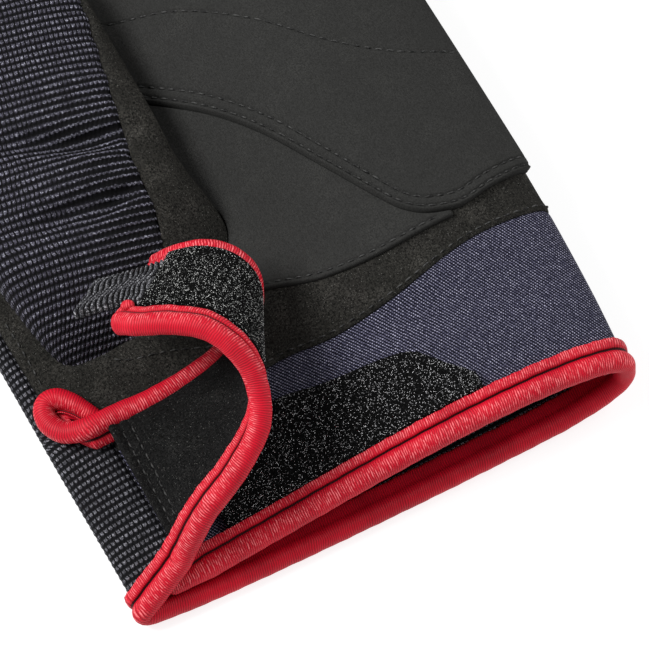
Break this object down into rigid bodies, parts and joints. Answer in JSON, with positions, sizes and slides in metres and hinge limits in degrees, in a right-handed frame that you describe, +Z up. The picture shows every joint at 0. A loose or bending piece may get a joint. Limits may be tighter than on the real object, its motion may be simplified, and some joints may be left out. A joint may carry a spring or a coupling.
{
  "type": "short-finger sailing glove",
  "caption": "Left-hand short-finger sailing glove lying palm up, with reinforced suede palm, ribbed stretch back, bound wrist opening and an unfastened curled wrist strap.",
  "frame": {"origin": "centre of the bounding box's underside, on the surface that the glove lies on", "axes": "+Y from the wrist to the fingertips, +Z up out of the palm, +X from the thumb side to the little finger"},
  "size_m": [0.1054, 0.1674, 0.0394],
  "materials": {
    "suede": "napped brownish black suede",
    "ribbed_stretch": "black and navy stretch knit with fine transverse ribs",
    "navy_knit": "fine navy knit",
    "smooth_overlay": "smooth charcoal synthetic suede",
    "loop_tape": "black loop tape, fuzzy",
    "hook_tape": "black hook tape",
    "webbing": "dark grey ribbed webbing",
    "red_binding": "crimson stretch binding with fine ribs and a soft sheen"
  },
  "bodies": {
    "root": {"palm_panel": "suede", "back_panel": "ribbed_stretch", "cuff_band": "navy_knit", "palm_overlay_upper": "smooth_overlay", "palm_overlay_lower": "smooth_overlay", "loop_patch": "loop_tape", "thumb_back": "ribbed_stretch", "thumb_palm": "suede", "strap": "suede", "hook_pad": "hook_tape", "pull_tab": "webbing", "wrist_binding": "red_binding", "slit_binding": "red_binding"}
  },
  "joints": []
}
